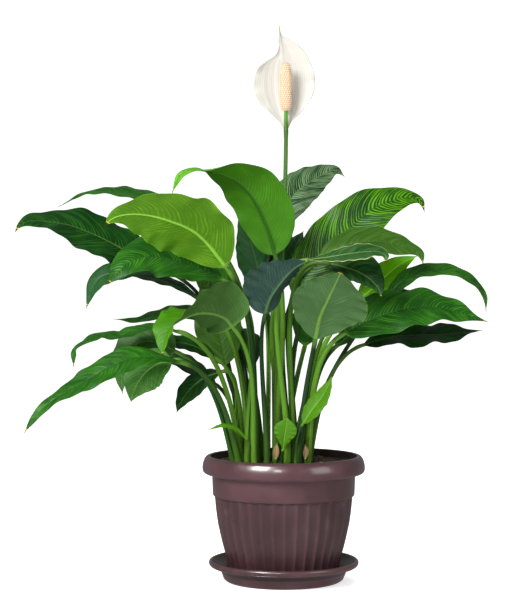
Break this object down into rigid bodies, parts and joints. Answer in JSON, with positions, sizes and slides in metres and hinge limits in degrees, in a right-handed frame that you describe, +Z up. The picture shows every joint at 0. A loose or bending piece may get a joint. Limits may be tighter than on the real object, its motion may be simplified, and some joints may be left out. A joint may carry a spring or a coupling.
{
  "type": "potted peace lily",
  "caption": "Peace lily with arching glossy leaves and a white spathe on a tall stalk, growing in a round fluted plastic pot that stands on a matching saucer",
  "frame": {"origin": "centre of the saucer's flat underside, on the table", "axes": "+Z up along the pot's axis, -Y the side the flower faces, +X to the right of a viewer who faces the flower"},
  "size_m": [0.6147, 0.4032, 0.7182],
  "materials": {
    "pot_plastic": "satin",
    "soil": "matte",
    "leaf_bright": "satin",
    "leaf_mid": "satin",
    "leaf_dark": "satin",
    "leaf_grey": "satin",
    "leaf_olive": "satin",
    "dry_sheath": "matte",
    "flower_stalk": "satin",
    "spathe": "satin",
    "spadix": "matte"
  },
  "bodies": {
    "root": {"saucer": "pot_plastic", "pot": "pot_plastic", "soil": "soil", "leaf_left_low_long": "leaf_mid", "leaf_left_middle": "leaf_mid", "leaf_left_pale": "leaf_bright", "leaf_left_front": "leaf_grey", "leaf_left_level": "leaf_mid", "leaf_left_hanging": "leaf_mid", "leaf_left_small": "leaf_bright", "leaf_left_grey": "leaf_grey", "leaf_left_short": "leaf_dark", "leaf_left_droop": "leaf_olive", "leaf_left_upright": "leaf_olive", "leaf_left_inner": "leaf_dark", "leaf_left_tip": "leaf_mid", "leaf_left_broad": "leaf_dark", "leaf_left_high": "leaf_mid", "leaf_centre_tall": "leaf_bright", "leaf_centre_front": "leaf_grey", "leaf_centre_blue": "leaf_dark", "leaf_centre_narrow": "leaf_grey", "leaf_centre_back": "leaf_dark", "leaf_young_tall": "leaf_bright", "leaf_young_short": "leaf_bright", "leaf_right_front": "leaf_grey", "leaf_right_pale_edge": "leaf_bright", "leaf_right_folded": "leaf_dark", "leaf_right_large": "leaf_mid", "leaf_right_olive": "leaf_olive", "leaf_right_glossy": "leaf_dark", "leaf_right_arching": "leaf_mid", "leaf_right_striped": "leaf_mid", "leaf_right_dark": "leaf_dark", "leaf_right_small": "leaf_olive", "leaf_back_left": "leaf_mid", "leaf_back_middle": "leaf_mid", "leaf_back_right": "leaf_mid", "leaf_back_far_right": "leaf_dark", "leaf_back_far_left": "leaf_dark", "leaf_back_low_left": "leaf_dark", "leaf_back_low_right": "leaf_mid", "dry_sheath_left": "dry_sheath", "dry_sheath_right": "dry_sheath", "flower_stalk": "flower_stalk", "spathe": "spathe", "spadix": "spadix"}
  },
  "joints": []
}
